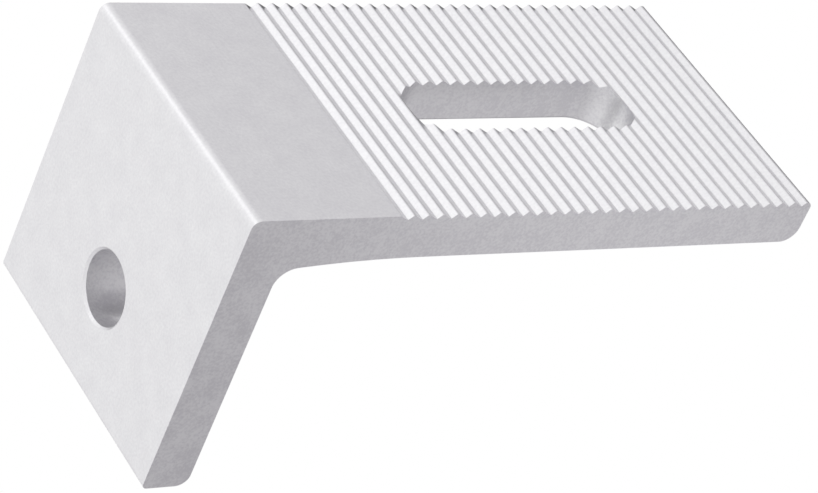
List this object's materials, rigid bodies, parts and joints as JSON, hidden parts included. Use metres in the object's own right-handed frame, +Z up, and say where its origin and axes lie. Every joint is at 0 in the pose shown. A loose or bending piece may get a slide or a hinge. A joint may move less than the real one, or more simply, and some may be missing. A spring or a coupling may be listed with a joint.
{
  "type": "solar l foot bracket",
  "caption": "Aluminium L foot bracket for solar rails: short leg with a roof screw hole, serrated long leg with an upright slot for the rail bolt.",
  "frame": {"origin": "centre of the roof screw's hole at the underside of the short leg", "axes": "+Z up the long leg; -X out of the serrated back face; Y along the extrusion"},
  "size_m": [0.0391, 0.0396, 0.08],
  "materials": {
    "aluminium": "clear anodised extruded aluminium, satin matt, with a fine grain"
  },
  "bodies": {
    "root": {"l_foot_bracket": "aluminium"}
  },
  "joints": []
}
